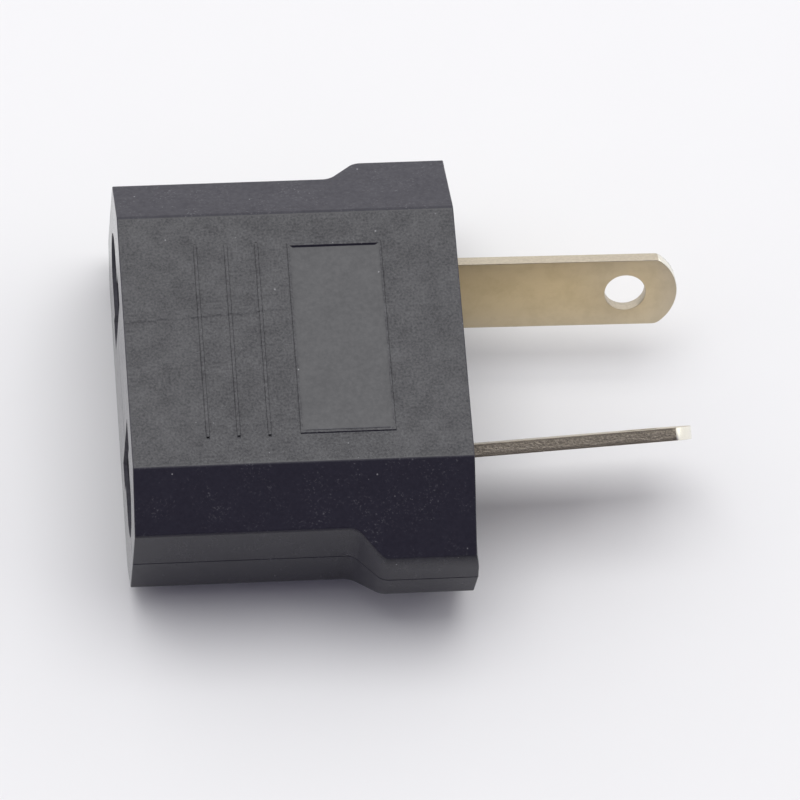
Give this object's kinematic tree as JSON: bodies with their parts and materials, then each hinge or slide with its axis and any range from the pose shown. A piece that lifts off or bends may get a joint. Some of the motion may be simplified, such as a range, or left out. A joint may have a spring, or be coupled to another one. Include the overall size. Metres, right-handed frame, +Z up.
{
  "type": "travel plug adapter",
  "caption": "Small black plug adapter: moulded casing with tilted flat plug blades at one end and combined flat-pin and round-pin socket holes with sprung contacts at the other.",
  "frame": {"origin": "on the ground plane below the middle of the whole part, with the part lying on its flat lower face", "axes": "+X along the plug axis from the socket face towards the blade tips, +Z up out of the ribbed top face, +Y to the left blade"},
  "size_m": [0.0453, 0.0358, 0.0151],
  "materials": {
    "upper_shell_plastic": "fine spark texture, satin black",
    "lower_shell_plastic": "satin black",
    "blade_metal": "pale brushed brass with sheared edges",
    "clip_brass": "rolled brass strip",
    "leaf_bronze": "rolled spring bronze",
    "rivet_brass": "headed brass"
  },
  "bodies": {
    "casing": {"upper_shell": "upper_shell_plastic", "lower_shell": "lower_shell_plastic", "left_blade": "blade_metal", "right_blade": "blade_metal", "left_contact_clip": "clip_brass", "right_contact_clip": "clip_brass", "left_leaf_rivet": "rivet_brass", "right_leaf_rivet": "rivet_brass"},
    "left_leaf": {"left_spring_leaf": "leaf_bronze"},
    "right_leaf": {"right_spring_leaf": "leaf_bronze"}
  },
  "joints": [
    {"name": "left_leaf_flex", "type": "hinge", "parent": "casing", "child": "left_leaf", "pos_m": [-0.00085, 0.00917, 0.0075], "axis": [0, 0, 1], "range_deg": [-1.6, 3.6], "stiffness_Nm_per_rad": 0.63},
    {"name": "right_leaf_flex", "type": "hinge", "parent": "casing", "child": "right_leaf", "pos_m": [-0.00085, -0.00917, 0.0075], "axis": [0, 0, -1], "range_deg": [-1.6, 3.6], "stiffness_Nm_per_rad": 0.63}
  ]
}
